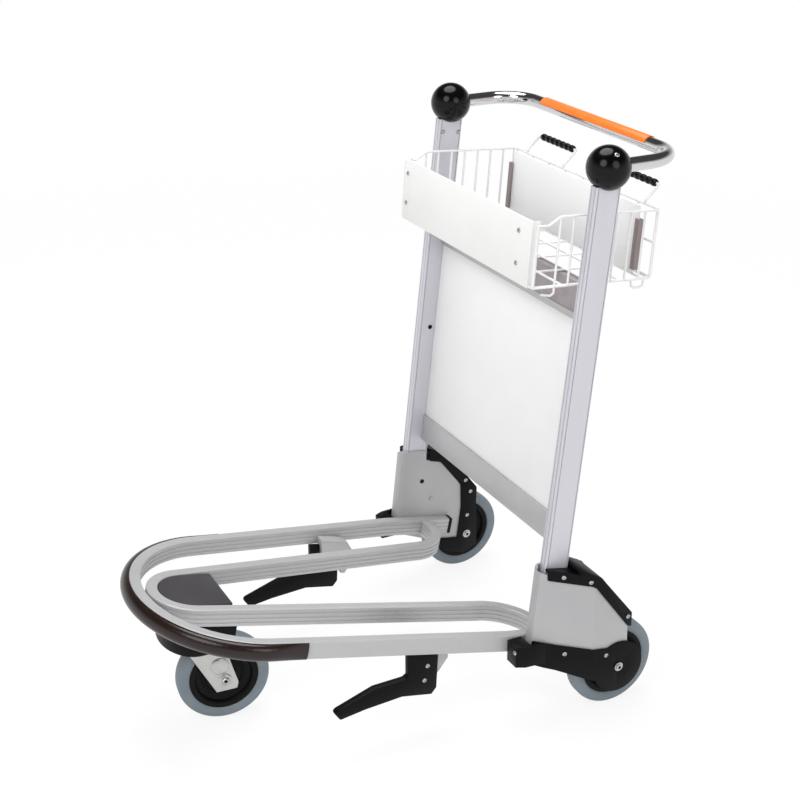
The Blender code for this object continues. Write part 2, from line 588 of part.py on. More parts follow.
for name, side in (("left", 1), ("right", -1)):
    channel = block("board_channel_" + name, 199, 215, boardAt - 4, boardAt + 8, wire + clear, 106, "channel")
    cut(channel, block("groove", 150, 204 + clear, boardAt - clear, boardAt + 4 + clear, -20, 200))
    cut(channel, block("sill", 150, 204 + clear, boardAt - clear, boardAt + 4 + clear, 0, 300))
    place(channel, basketFrame @ (Matrix.Identity(4) if side > 0 else mirror))

    bailY, bailZ = basketDeep + 27.0, 152.0
    bailIn, bailOut = basketHalf - 165.0, basketHalf - 39.0
    footY, footZ = rearAt + wire / 2, basketHigh + clear
    path = [(bailIn, footY, footZ), (bailIn, footY, footZ + 4), (bailIn, bailY - 4, bailZ - 4), (bailIn + 3, bailY, bailZ), (bailOut - 3, bailY, bailZ),
            (bailOut, bailY - 4, bailZ - 4), (bailOut, footY, footZ + 4), (bailOut, footY, footZ)]
    bail = sweep("bag_bail_" + name, path, circle(2.5, 12), "white", up=Vector((0, 0.6, -0.8)))
    spot = basketFrame @ (Matrix.Identity(4) if side > 0 else mirror)
    place(bail, spot)
    beads = []
    count = 7
    beadIn, beadOut = bailIn + 8, bailOut - 8
    pitch = (beadOut - beadIn) / count
    for i in range(count):
        x = beadIn + pitch * i
        beads += [(x, 4.6), (x + pitch * 0.2, 6.2), (x + pitch * 0.5, 6.8), (x + pitch * 0.8, 6.2)]
    beads += [(beadOut, 4.6), (beadOut, 2.8), (beadIn, 2.8)]
    place(lathe("bail_sleeve_" + name, beads, 24, "black"), spot @ shift(0, bailY, bailZ))
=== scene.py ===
import bpy
import bmesh
import math
from mathutils import Matrix, Vector


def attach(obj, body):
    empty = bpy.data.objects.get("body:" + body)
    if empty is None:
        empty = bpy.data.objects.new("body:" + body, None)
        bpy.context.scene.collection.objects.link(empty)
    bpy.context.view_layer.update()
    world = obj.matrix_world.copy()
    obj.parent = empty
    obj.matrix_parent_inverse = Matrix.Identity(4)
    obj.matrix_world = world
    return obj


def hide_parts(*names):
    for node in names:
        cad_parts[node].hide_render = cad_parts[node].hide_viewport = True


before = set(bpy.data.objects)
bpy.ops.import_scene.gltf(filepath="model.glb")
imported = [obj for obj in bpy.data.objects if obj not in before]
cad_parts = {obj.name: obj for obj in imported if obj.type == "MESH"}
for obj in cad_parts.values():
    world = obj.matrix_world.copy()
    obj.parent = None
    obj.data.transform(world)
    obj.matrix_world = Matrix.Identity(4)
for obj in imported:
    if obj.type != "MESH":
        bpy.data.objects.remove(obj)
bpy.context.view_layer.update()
mm = 0.001
print("stage: frame loaded")


def srgb(text):
    def channel(pair):
        c = int(pair, 16) / 255
        return c / 12.92 if c <= 0.04045 else ((c + 0.055) / 1.055) ** 2.4
    return (channel(text[1:3]), channel(text[3:5]), channel(text[5:7]), 1.0)


def addNode(tree, kind, inputs=None, **props):
    node = tree.nodes.new(kind)
    for key, value in props.items():
        setattr(node, key, value)
    for key, value in (inputs or {}).items():
        if isinstance(value, bpy.types.NodeSocket):
            tree.links.new(value, node.inputs[key])
        else:
            node.inputs[key].default_value = value
    return node


noise = {"patchDetail": 4.0, "grainDetail": 2.0, "low": 0.3, "high": 0.7, "reliefDepth": 0.4}


def makeMaterial(name, s):
    # one recipe: colour varied by broad patches, roughness and relief by a fine grain
    mat = bpy.data.materials.new(name)
    mat.use_nodes = True
    tree = mat.node_tree
    shader = tree.nodes["Principled BSDF"]
    coords = addNode(tree, "ShaderNodeTexCoord")
    stretch = addNode(tree, "ShaderNodeMapping",
                      {"Vector": coords.outputs["Object"], "Scale": s.get("stretch", (1, 1, 1))})
    # a noise of scale n has n cells in a metre, so a size in mm gives its scale
    patches = addNode(tree, "ShaderNodeTexNoise",
                      {"Vector": stretch.outputs["Vector"], "Scale": 1 / (s["patch"] * mm),
                       "Detail": noise["patchDetail"]})
    grain = addNode(tree, "ShaderNodeTexNoise",
                    {"Vector": stretch.outputs["Vector"], "Scale": 1 / (s["grain"] * mm),
                     "Detail": noise["grainDetail"]})
    # inputs 6 and 7 of the mix node are its colours, and output 2 is the mixed one
    tint = addNode(tree, "ShaderNodeMix",
                   {"Factor": patches.outputs["Fac"], 6: srgb(s["dark"]), 7: srgb(s["light"])},
                   data_type="RGBA")
    tree.links.new(tint.outputs[2], shader.inputs["Base Color"])
    smooth, dull = s["rough"]
    rough = addNode(tree, "ShaderNodeMapRange",
                    {"Value": grain.outputs["Fac"], "From Min": noise["low"], "From Max": noise["high"],
                     "To Min": smooth, "To Max": dull})
    tree.links.new(rough.outputs["Result"], shader.inputs["Roughness"])
    shader.inputs["Metallic"].default_value = s.get("metal", 0.0)
    shader.inputs["Specular IOR Level"].default_value = s.get("spec", 0.5)
    if "relief" in s:
        bump = addNode(tree, "ShaderNodeBump",
                       {"Height": grain.outputs["Fac"], "Strength": s["relief"],
                        "Distance": noise["reliefDepth"] * mm})
        tree.links.new(bump.outputs["Normal"], shader.inputs["Normal"])
    return mat


# patch, grain and the relief's depth are in mm; finer grains than 0.7 mm wouldn't show
finishes = {
    # extruded and anodised aluminium: a soft grey sheen, with faint streaks along the bar
    "satinAluminium": {"slot": "aluminium", "dark": "#ABABAC", "light": "#BBBBBC", "rough": (0.34, 0.5),
                       "metal": 0.3, "stretch": (1, 0.08, 0.08), "patch": 70.0, "grain": 1.1,
                       "relief": 0.03},
    # the uprights' anodising has a faintly violet cast, streaked up and down
    "violetAluminium": {"slot": "aluminium", "dark": "#C6C5CC", "light": "#D3D2D9", "rough": (0.36, 0.5),
                        "metal": 0.28, "stretch": (1, 1, 0.05), "patch": 70.0, "grain": 1.1,
                        "relief": 0.03},
    # bead-blasted folded sheet: an even grey without streaks
    "blastedSheet": {"slot": "aluminium", "dark": "#A8A8AA", "light": "#B6B6B7", "rough": (0.42, 0.58),
                     "metal": 0.28, "patch": 70.0, "grain": 0.7, "relief": 0.05},
    # the bar under the basket: painted shade, darker and brownish for the basket's shadow over it, with
    # blotches
    "paintedShadeRail": {"slot": "aluminium", "dark": "#8E8587", "light": "#B4ADAF", "rough": (0.32, 0.5),
                   "metal": 0.5, "patch": 25.0, "grain": 1.1, "relief": 0.04},
    # powder coat on wire: white with a fine orange peel
    "powderWhite": {"slot": "white_paint", "dark": "#E3E3E2", "light": "#ECECEB", "rough": (0.34, 0.46),
                    "patch": 70.0, "grain": 1.4, "relief": 0.05},
    # laminated board: white and nearly smooth
    "boardWhite": {"slot": "white_board", "dark": "#E8E8E8", "light": "#EFEFEF", "rough": (0.3, 0.42),
                   "patch": 70.0, "grain": 3.8, "relief": 0.015},
    # moulded nylon: black with the dull grain of a spark-eroded mould
    "nylonBlack": {"slot": "black_plastic", "dark": "#070709", "light": "#0E0E10", "rough": (0.34, 0.5),
                   "spec": 0.12, "patch": 70.0, "grain": 0.8, "relief": 0.08},
    # polished phenolic: the balls and beads reflect the lamps sharply
    "glossBlack": {"slot": "gloss_black", "dark": "#040405", "light": "#080809", "rough": (0.1, 0.18),
                   "spec": 0.22, "patch": 70.0, "grain": 2.0, "relief": 0.01},
    # non-marking rubber: blue-grey and matt
    "tyreGrey": {"slot": "tyre", "dark": "#69747B", "light": "#7B868D", "rough": (0.5, 0.66),
                 "patch": 70.0, "grain": 1.1, "relief": 0.06},
    # extruded rubber strip: brown-black with a soft shine along its round
    "bumperRubber": {"slot": "bumper", "dark": "#170F0C", "light": "#281B17", "rough": (0.16, 0.28),
                     "spec": 0.42, "patch": 70.0, "grain": 0.9, "relief": 0.06},
    # moulded rubber mat: dark and pebbled
    "deckRubber": {"slot": "deck", "dark": "#2B272B", "light": "#3D383D", "rough": (0.5, 0.7),
                   "patch": 70.0, "grain": 0.7, "relief": 0.3},
    # chromed steel tube: a near mirror
    "chromeTube": {"slot": "chrome", "dark": "#C9C9CC", "light": "#D9D9DB", "rough": (0.05, 0.11),
                   "metal": 1.0, "patch": 70.0, "grain": 3.3},
    # zinc-plated pressing: pale, slightly warm and cloudy
    "zincPlate": {"slot": "zinc", "dark": "#B5B5B3", "light": "#CBCBC8", "rough": (0.28, 0.45),
                  "metal": 0.85, "patch": 17.0, "grain": 1.1, "relief": 0.05},
    # bright steel of bolts, screws, pins and rods: clean, with small sharp lights
    "brightSteel": {"slot": "steel", "dark": "#AFAFB2", "light": "#C4C4C6", "rough": (0.2, 0.34),
                    "metal": 1.0, "patch": 70.0, "grain": 0.8},
    # brown-grey strips that hold the rear board: dull metal
    "dullChannel": {"slot": "channel", "dark": "#8B807F", "light": "#9F9493", "rough": (0.4, 0.55),
                    "metal": 0.6, "patch": 70.0, "grain": 1.0, "relief": 0.04},
    # vinyl sleeve: an even orange with a soft sheen
    "orangeLabel": {"slot": "label", "dark": "#E26C12", "light": "#EE7E1F", "rough": (0.35, 0.48),
                    "patch": 33.0, "grain": 1.7, "relief": 0.02},
}
mats = {name: makeMaterial(name, s) for name, s in finishes.items()}
print("stage: materials made")


def finishMesh(name, bm, material, body, nodes=(), angle=35.0):
    bmesh.ops.recalc_face_normals(bm, faces=bm.faces)
    mesh = bpy.data.meshes.new(name)
    bm.to_mesh(mesh)
    bm.free()
    mesh.shade_smooth()
    mesh.set_sharp_from_angle(angle=math.radians(angle))
    piece = bpy.data.objects.new(name, mesh)
    bpy.context.scene.collection.objects.link(piece)
    mesh.materials.append(mats[material])
    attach(piece, body)
    if nodes:
        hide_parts(*nodes)
    return piece


def softenEdges(bm, width, turn=28.0):
    sharp = [e for e in bm.edges
             if len(e.link_faces) == 2 and e.calc_face_angle(0) > math.radians(turn)]
    bmesh.ops.bevel(bm, geom=sharp, offset=width * mm, offset_type="OFFSET", segments=2, profile=0.5,
                    affect="EDGES", clamp_overlap=True, material=-1)


def dress(node, material, body, width=0.8, angle=35.0, shape=None):
    # the CAD solid's own form, with its edges broken as a moulded or pressed piece has them
    bm = bmesh.new()
    bm.from_mesh(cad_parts[node].data)
    bmesh.ops.remove_doubles(bm, verts=bm.verts, dist=1e-6)
    bmesh.ops.dissolve_limit(bm, angle_limit=math.radians(1.0), verts=bm.verts, edges=bm.edges)
    if shape:
        shape(bm)
    softenEdges(bm, width)
    return finishMesh(node + "Skin", bm, material, body, (node,), angle)


acrossAxis = Vector((1, 0, 0))
upAxis = Vector((0, 0, 1))


def pathFrames(path, up):
    pts = [Vector(p) * mm for p in path]
    steps = [(b - a).normalized() for a, b in zip(pts, pts[1:])]
    frames = []
    for i, p in enumerate(pts):
        along = (steps[max(i - 1, 0)] + steps[min(i, len(steps) - 1)]).normalized()
        side = along.cross(up).normalized()
        top = side.cross(along).normalized()
        turn = Matrix((side, top, along)).transposed().to_4x4()
        frames.append(Matrix.Translation(p) @ turn)
    return frames


def sweepInto(bm, path, section, up=upAxis, swell=None):
    # the section is drawn once at the path's start and extruded from point to point
    frames = pathFrames(path, up)
    if swell:
        frames = [place @ local for place, local in zip(frames, swell)]
    cap = bm.faces.new([bm.verts.new((s * mm, t * mm, 0)) for s, t in section])
    bmesh.ops.transform(bm, matrix=frames[0], verts=cap.verts[:])
    for here, there in zip(frames, frames[1:]):
        made = bmesh.ops.extrude_face_region(bm, geom=[cap])["geom"]
        cap = next(g for g in made if isinstance(g, bmesh.types.BMFace))
        bmesh.ops.transform(bm, matrix=there @ here.inverted(), verts=cap.verts[:])


def arcPoints(cx, cy, radius, a0, a1, steps):
    turns = (math.radians(a0 + (a1 - a0) * i / steps) for i in range(steps + 1))
    return [(cx + radius * math.cos(a), cy + radius * math.sin(a)) for a in turns]


def ringPoints(radius, steps):
    return arcPoints(0, 0, radius, 0, 360, steps)[:-1]


def mirrorPath(half, z):
    # the right half of a path repeats the left one; a point on the middle line is there once
    return [(x, y, z) for x, y in half] + [(-x, y, z) for x, y in reversed(half) if x > 0.01]


grooveFloor = 0.6  # a groove's flat floor as a share of its mouth
cornerSteps = 4


def grooved(wide, high, top, corner, cuts=((), (), ()), depth=0.0, half=0.0):
    # a rectangle seen end on, its corners rounded; cuts are the places of grooves
    # on its +X side, on both of its ends and on its -X side
    x, low = wide / 2, top - high
    plus, ends, minus = cuts
    corners = [Vector((x, low)), Vector((x, top)), Vector((-x, top)), Vector((-x, low))]
    pts = []
    for i, places in enumerate((plus, ends, minus, ends)):
        here, there = corners[i], corners[(i + 1) % 4]
        run = (there - here).normalized()
        inward = Vector((-run.y, run.x))
        centre = here + run * corner + inward * corner
        pts.extend(arcPoints(centre.x, centre.y, corner, 90 * i - 90, 90 * i, cornerSteps))
        for place in places:
            middle = here + run * place
            floor = [middle + run * half * share + inward * depth for share in (-grooveFloor, grooveFloor)]
            pts.extend(tuple(p) for p in (middle - run * half, *floor, middle + run * half))
    return pts


def latheInto(bm, profile, spot, steps, closed=True):
    # a profile of (along, radius) pairs, spun once about the X axis and put at its spot
    known = set(bm.verts)
    ring = [bm.verts.new((x * mm, 0, r * mm)) for x, r in profile]
    rims = [bm.edges.new(pair) for pair in zip(ring, ring[1:])]
    if closed:
        rims.append(bm.edges.new((ring[-1], ring[0])))
    bmesh.ops.spin(bm, geom=ring + rims, cent=(0, 0, 0), axis=acrossAxis, dvec=(0, 0, 0),
                   angle=2 * math.pi, steps=steps, use_merge=True)
    bmesh.ops.remove_doubles(bm, verts=[v for v in bm.verts if v not in known], dist=1e-7)
    bmesh.ops.transform(bm, matrix=spot, verts=[v for v in bm.verts if v not in known])


def plateInto(bm, outline, x0, x1):
    # an outline in the YZ plane, extruded across the trolley
    face = bm.faces.new([bm.verts.new((x0 * mm, y * mm, z * mm)) for y, z in outline])
    made = bmesh.ops.extrude_face_region(bm, geom=[face])["geom"]
    bmesh.ops.translate(bm, vec=((x1 - x0) * mm, 0, 0),
                        verts=[g for g in made if isinstance(g, bmesh.types.BMVert)])
    bmesh.ops.recalc_face_normals(bm, faces=bm.faces)


def shift(x, y, z):
    return Matrix.Translation((x * mm, y * mm, z * mm))


def facing(spot, turn, reach):
    # a place on the spot's X axis, looking outward at one end (turn 0) or the other (turn pi)
    return spot @ Matrix.Rotation(turn, 4, "Z") @ shift(reach, 0, 0)


def scaled(shares, height, radius):
    return [(h * height, r * radius) for h, r in shares]


sides = (("left", Matrix.Identity(4)), ("right", Matrix.Diagonal((-1, 1, 1, 1))))

# camera: solved from the photograph's mirrored pairs
cameraSet = {"spot": (2.247, -1.0743, 1.6383), "azimuth": 62.48, "elevation": 21.87, "lens": 69.775,
             "sensor": 36.0, "shift": (-0.02357, -0.0596), "reach": 200.0}
cam = bpy.data.cameras.new("photoCamera")
cam.sensor_fit = "HORIZONTAL"
cam.sensor_width = cameraSet["sensor"]
cam.lens = cameraSet["lens"]
cam.shift_x, cam.shift_y = cameraSet["shift"]
cam.clip_end = cameraSet["reach"]
camera = bpy.data.objects.new("photoCamera", cam)
bpy.context.scene.collection.objects.link(camera)
camera.location = cameraSet["spot"]
camera.rotation_euler = (math.radians(90 - cameraSet["elevation"]), 0, math.radians(cameraSet["azimuth"]))
bpy.context.scene.camera = camera
print("stage: camera set")

# base: two grooved loops, drawn flat and then tilted
base = {"tilt": math.radians(11.31), "level": 194.0, "wide": 20.0, "high": 32.0, "corner": 2.6,
        "grooves": (8, 16, 24), "grooveDepth": 1.1, "grooveHalf": 1.5, "gap": 0.3,
        "rearX": 238.2, "nose": -258.0, "taper": 0.098, "noseShare": 0.918, "noseSteps": 30,
        "straight": 150.0, "lead": 25.0, "tail": 286.0, "plugEnd": 7.0, "plugGap": 0.2,
        "innerX": 124.0, "innerNose": -346.0, "innerTaper": 0.11, "innerSteps": 24,
        "bend": 85.0, "bendSteps": 20}
tiltBase = shift(0, 0, base["level"]) @ Matrix.Rotation(-base["tilt"], 4, "X")


def flatY(y):
    return y / math.cos(base["tilt"])


def loopHalf(rearX, taper, noseY, straightY, steps, share=1.0):
    # a tapered straight, then a quarter ellipse whose depth is a share of its half width
    lean = math.atan(taper * share)
    radius = (rearX + taper * (noseY - straightY)) * math.cos(lean)
    quarter = arcPoints(0, 0, radius, -math.degrees(lean), -90, steps)
    return [(rearX, straightY)] + [(x, noseY + share * y) for x, y in quarter]


def railSection(outside):
    return grooved(base["wide"], base["high"], 0.0, base["corner"], (base["grooves"], (), outside),
                   base["grooveDepth"], base["grooveHalf"])


turnY, tailY = flatY(base["straight"]), flatY(base["tail"])
straightHalf = [(base["rearX"], tailY), (base["rearX"], turnY + base["lead"])]
noseHalf = loopHalf(base["rearX"], base["taper"], flatY(base["nose"]), turnY, base["noseSteps"],
                    base["noseShare"])
bm = bmesh.new()
sweepInto(bm, mirrorPath(straightHalf + noseHalf, 0), railSection(()))  # smooth outside
bm.transform(tiltBase)
finishMesh("outerRail", bm, "satinAluminium", "frame", ("base_outer_rail",))

# black plugs close the rail's two ends
plugSection = grooved(base["wide"] + 2 * base["gap"], base["high"] + 2 * base["gap"], base["gap"],
                      base["corner"])
bm = bmesh.new()
for x in (-base["rearX"], base["rearX"]):
    sweepInto(bm, [(x, tailY + base["plugGap"], 0), (x, tailY + base["plugEnd"], 0)], plugSection)
bm.transform(tiltBase)
finishMesh("railPlugs", bm, "nylonBlack", "frame")

# the inner loop turns out to meet the outer one at its rear
innerHalf = [(base["rearX"] - base["wide"] / 2 - base["gap"], turnY + base["bend"])]
innerHalf += arcPoints(base["innerX"] + base["bend"], turnY, base["bend"], 90, 180, base["bendSteps"])
innerHalf += loopHalf(base["innerX"], base["innerTaper"], flatY(base["innerNose"]), turnY,
                      base["innerSteps"])[1:]
bm = bmesh.new()
sweepInto(bm, mirrorPath(innerHalf, 0), railSection(base["grooves"]))
bm.transform(tiltBase)
finishMesh("innerRail", bm, "satinAluminium", "frame", ("base_inner_rail",))

# bumper: half an ellipse, flat against the rail, thinning over its run to a share at both ends
bumper = {"thick": 13.0, "high": 31.0, "end": -217.0, "endShare": 0.28, "run": 76.0,
          "straightSteps": 8, "roundSteps": 18}
railSide = base["wide"] / 2 + base["gap"]
straightFrom, straightTo = Vector(noseHalf[0]), Vector(noseHalf[1])
bumperFrom = straightFrom.lerp(
    straightTo, (flatY(bumper["end"]) - straightFrom.y) / (straightTo.y - straightFrom.y))
bumperHalf = [tuple(bumperFrom.lerp(straightTo, i / bumper["straightSteps"]))
              for i in range(bumper["straightSteps"])] + noseHalf[1:]
bumperPath = mirrorPath(bumperHalf, 0)[::-1]
bumperSection = [(railSide + bumper["thick"] * out, (bumper["high"] * up - base["high"]) / 2)
                 for out, up in arcPoints(0, 0, 1, -90, 90, bumper["roundSteps"])]
thinning = []
for place in bumperPath:
    along = min(1.0, (bumperFrom.y - place[1]) / bumper["run"])
    width = bumper["endShare"] + (1 - bumper["endShare"]) * along * along * (3 - 2 * along)
    thinning.append(shift(railSide, 0, 0) @ Matrix.Diagonal((width, 1, 1, 1)) @ shift(-railSide, 0, 0))
bm = bmesh.new()
sweepInto(bm, bumperPath, bumperSection, swell=thinning)
bm.transform(tiltBase)
finishMesh("noseBumper", bm, "bumperRubber", "frame", ("nose_bumper",), angle=50)
dress("nose_deck_plate", "deckRubber", "frame", width=1.6)

house = {"centreY": -346.0, "frontShare": 0.66, "upperZ": 190.0, "edge": 6.0}


def drawIn(bm):
    # the housing's front stands back from the nose, and its upper side keeps the base's slope
    for v in bm.verts:
        back = (house["centreY"] * mm - v.co.y) * (1 - house["frontShare"])
        if back > 0:
            v.co.y += back
            if v.co.z > house["upperZ"] * mm:
                v.co.z -= back * math.tan(base["tilt"])


dress("caster_housing", "nylonBlack", "frame", house["edge"], shape=drawIn)
print("stage: base made")

# front caster
wheel = {
    "radius": 83.0,
    # half profiles as (across, radius), from the bore outwards
    "tyre": [(14, 62.3), (15.4, 64), (15.9, 67), (16, 72), (15.6, 76.5), (14.2, 79.8), (11.6, 82),
             (8, 82.9), (1.2, 83), (0.8, 82.6)],
    "core": [(19, 6.3), (19, 11), (17.5, 19), (8, 22.5), (6, 25), (6, 33), (7.6, 34.5), (7.6, 37.5),
             (6, 39), (6, 46), (7.5, 49.5), (13, 52), (14.5, 54), (14.5, 60.5), (13.8, 62)],
    "tyreSteps": 96, "coreSteps": 72, "axle": 6.0, "axleSteps": 24,
}
caster = {"swivelY": -340.0, "trail": 40.0, "turn": math.radians(-8.0), "axleHalf": 23.8,
          "boltRadius": 7.2, "boltHeight": 5.6}
swivel = shift(0, caster["swivelY"], 0)
turnCaster = swivel @ Matrix.Rotation(caster["turn"], 4, "Z") @ swivel.inverted()
frontSpot = turnCaster @ shift(0, caster["swivelY"] + caster["trail"], wheel["radius"])


def makeWheel(name, spot, body, nodes):
    looks = (("tyre", "Tyre", "tyreGrey"), ("core", "Core", "nylonBlack"))
    for (form, ending, material), node in zip(looks, nodes):
        profile = wheel[form] + [(-x, r) for x, r in reversed(wheel[form])]
        bm = bmesh.new()
        latheInto(bm, profile, spot, wheel[form + "Steps"])
        finishMesh(name + ending, bm, material, body, (node,), angle=40)


makeWheel("front", frontSpot, "front_wheel", ("front_tyre", "front_wheel_core"))

# fork: outlines as (y from the swivel, z), a round swell pressed outward in each cheek
fork = {"in": 20.5, "out": 23.5, "edge": 1.2, "roundSteps": 32, "swellSteps": 6,
        "cheek": [(-30, 173), (36, 173), (64, 74), (61, 62), (24, 60), (-30, 162)],
        "crown": [(-30, 169), (32, 169), (32, 173), (-30, 173)],
        "swellY": 32.0, "swellZ": 113.0, "swellRadius": 17.0, "swellRise": 5.0, "swellSink": 0.2,
        "boss": [(0, 13), (0.8, 12.4), (2.2, 9.5), (2.6, 8.8), (2.6, 8.2), (0, 8.2)]}
cheek, crown = [[(caster["swivelY"] + y, z) for y, z in fork[form]] for form in ("cheek", "crown")]
bm = bmesh.new()
for s in (-1, 1):
    plateInto(bm, cheek, s * fork["in"], s * fork["out"])
plateInto(bm, crown, -fork["in"], fork["in"])
softenEdges(bm, fork["edge"])
swellSpot = shift(0, caster["swivelY"] + fork["swellY"], fork["swellZ"])
swell = scaled([(up, out) for out, up in arcPoints(0, 0, 1, 0, 90, fork["swellSteps"])],
               fork["swellRise"], fork["swellRadius"])
for turn in (0, math.pi):
    swellSide = facing(swellSpot, turn, fork["out"] - fork["swellSink"])
    latheInto(bm, swell, swellSide, fork["roundSteps"], closed=False)
bm.transform(turnCaster)
finishMesh("casterFork", bm, "zincPlate", "caster", ("caster_fork",))
dress("caster_stem", "brightSteel", "caster", width=0.6)

# bolt: washer and six-sided head along +X, as shares of the head's height and radius
bolt = {"washer": [(0, 0), (0, 1.25), (0.25, 1.25), (0.3, 1.15), (0.3, 0)],
        "head": [(0.3, 0), (0.3, 1), (0.85, 1), (1, 0.86), (1, 0.5)],
        "socket": [(1, 0.5), (0.6, 0.48), (0.6, 0)],
        # the socket's floor is a black disc of painted shade
        "socketShade": [(0.6, 0), (0.6, 0.46), (0.72, 0.46), (0.72, 0)],
        "roundSteps": 32, "flats": 6}


def boltInto(bm, spot, radius, height):
    for form, steps in (("washer", bolt["roundSteps"]), ("head", bolt["flats"]), ("socket", bolt["flats"])):
        latheInto(bm, scaled(bolt[form], height, radius), spot, steps, closed=False)


def socketShadeInto(bm, spot, radius, height):
    # a black disc at the bottom of the bolt's socket: painted shade
    latheInto(bm, scaled(bolt["socketShade"], height, radius), spot, bolt["flats"], closed=False)


def axleInto(bm, spot, x0, x1):
    profile = [(x0, 0), (x0, wheel["axle"]), (x1, wheel["axle"]), (x1, 0)]
    latheInto(bm, profile, spot, wheel["axleSteps"], closed=False)


frontEnds = [facing(frontSpot, turn, caster["axleHalf"]) for turn in (0, math.pi)]
bm = bmesh.new()
axleInto(bm, frontSpot, -caster["axleHalf"], caster["axleHalf"])
for end in frontEnds:
    boltInto(bm, end, caster["boltRadius"], caster["boltHeight"])
finishMesh("frontAxleBolt", bm, "brightSteel", "caster", ("front_axle",))
# painted shade in the bolt sockets
bm = bmesh.new()
for end in frontEnds:
    socketShadeInto(bm, end, caster["boltRadius"], caster["boltHeight"])
finishMesh("frontBoltSocketShade", bm, "nylonBlack", "caster")
# pressed boss in each fork cheek
bm = bmesh.new()
for turn in (0, math.pi):
    latheInto(bm, fork["boss"], facing(frontSpot, turn, fork["out"]), fork["roundSteps"])
finishMesh("forkBosses", bm, "zincPlate", "caster")
print("stage: caster made")

# uprights: hollow, with grooves along their fronts and sides
post = {"x": 262.0, "wide": 20.0, "deep": 47.0, "corner": 2.6, "wall": 3.3, "boreCorner": 1.0,
        "sideGrooves": (5.2, 14.8), "faceGrooves": (3.6, 43.4), "grooveDepth": 1.6, "grooveHalf": 1.3,
        "lean": math.radians(6.2), "pivotY": 300.0, "pivotZ": 993.0, "top": 30.5, "end": 858.0}
leanFrame = shift(0, post["pivotY"], post["pivotZ"]) @ Matrix.Rotation(-post["lean"], 4, "X")
postSection = grooved(post["deep"], post["wide"], post["wide"] / 2, post["corner"],
                      (post["sideGrooves"], post["faceGrooves"], post["sideGrooves"]),
                      post["grooveDepth"], post["grooveHalf"])
postBore = grooved(post["deep"] - 2 * post["wall"], post["wide"] - 2 * post["wall"],
                   post["wide"] / 2 - post["wall"], post["boreCorner"])
for name, flip in sides:
    bm = bmesh.new()
    line = [(post["x"], 0, -post["end"]), (post["x"], 0, -post["top"])]
    for section in (postSection, postBore):
        sweepInto(bm, line, section, acrossAxis)
    bmesh.ops.delete(bm, geom=[f for f in bm.faces if abs(f.normal.z) > 0.9], context="FACES_ONLY")
    for rimZ in (-post["end"], -post["top"]):
        rims = [e for e in bm.edges
                if e.is_boundary and all(abs(v.co.z - rimZ * mm) < 1e-5 for v in e.verts)]
        bmesh.ops.bridge_loops(bm, edges=rims)
    bm.transform(flip @ leanFrame)
    finishMesh("post_" + name, bm, "violetAluminium", "frame", ("upright_" + name,))
    dress("ball_cap_" + name, "glossBlack", "frame", width=0.6, angle=50)
    dress("handle_crank_" + name, "brightSteel", "handle", width=0.5)
    dress("handle_pivot_" + name, "brightSteel", "frame", width=0.4)
    dress("brake_rod_" + name, "brightSteel", "brake_rod_%s_body" % name, width=0.4)
    dress("brake_lever_" + name, "brightSteel", "brake_lever_%s_body" % name, width=0.6)
    dress("brake_pin_" + name, "blastedSheet", "frame", width=0.4)

# cross rails and board; the upper rail carries painted shade, and a lip of plain aluminium on its lower
# front edge shows that edge lit
dress("lower_cross_rail", "satinAluminium", "frame", width=1.6)
cross = {"lower": 18.0, "lipHigh": 11.0, "lipThick": 1.2, "lipStand": 0.744, "lipRise": 1.6,
         "lipShort": 1.0, "lipEdge": 0.4}


def deepen(bm):
    # the rail's lower half is drawn down to show below the basket's front board
    leaned = [leanFrame.inverted() @ v.co for v in bm.verts]
    middle = (min(c.z for c in leaned) + max(c.z for c in leaned)) / 2
    down = leanFrame.to_3x3() @ Vector((0, 0, -cross["lower"] * mm))
    for v, c in zip(bm.verts[:], leaned):
        if c.z < middle:
            v.co += down


# the upper rail carries the painted shade of the basket above it
railPiece = dress("upper_cross_rail", "paintedShadeRail", "frame", width=1.6, shape=deepen)
railPlaces = [leanFrame.inverted() @ v.co for v in railPiece.data.vertices]
lipSpot = Vector((0, min(c.y for c in railPlaces) - cross["lipStand"] * mm,
                  min(c.z for c in railPlaces) + (cross["lipHigh"] / 2 + cross["lipRise"]) * mm))
lipLong = 2 * (max(c.x for c in railPlaces) - cross["lipShort"] * mm)
lipSize = Matrix.Diagonal((lipLong, cross["lipThick"] * mm, cross["lipHigh"] * mm, 1))
bm = bmesh.new()
bmesh.ops.create_cube(bm, size=1.0, matrix=lipSize)
softenEdges(bm, cross["lipEdge"])
bm.transform(leanFrame @ Matrix.Translation(lipSpot))
finishMesh("crossRailLip", bm, "satinAluminium", "frame")
dress("back_board", "boardWhite", "frame", width=0.8)
print("stage: uprights made")

# handle
grip = {"x": 262.0, "from": 326.3, "back": 448.0, "bend": 68.0, "bendSteps": 24, "radius": 12.0,
        "roundSteps": 40}
handleHalf = [(grip["x"], grip["from"])]
handleHalf += arcPoints(grip["x"] - grip["bend"], grip["back"] - grip["bend"], grip["bend"], 0, 90,
                        grip["bendSteps"])
bm = bmesh.new()
sweepInto(bm, mirrorPath(handleHalf, post["pivotZ"]), ringPoints(grip["radius"], grip["roundSteps"]))
finishMesh("handleTube", bm, "chromeTube", "handle", ("handle_tube",))
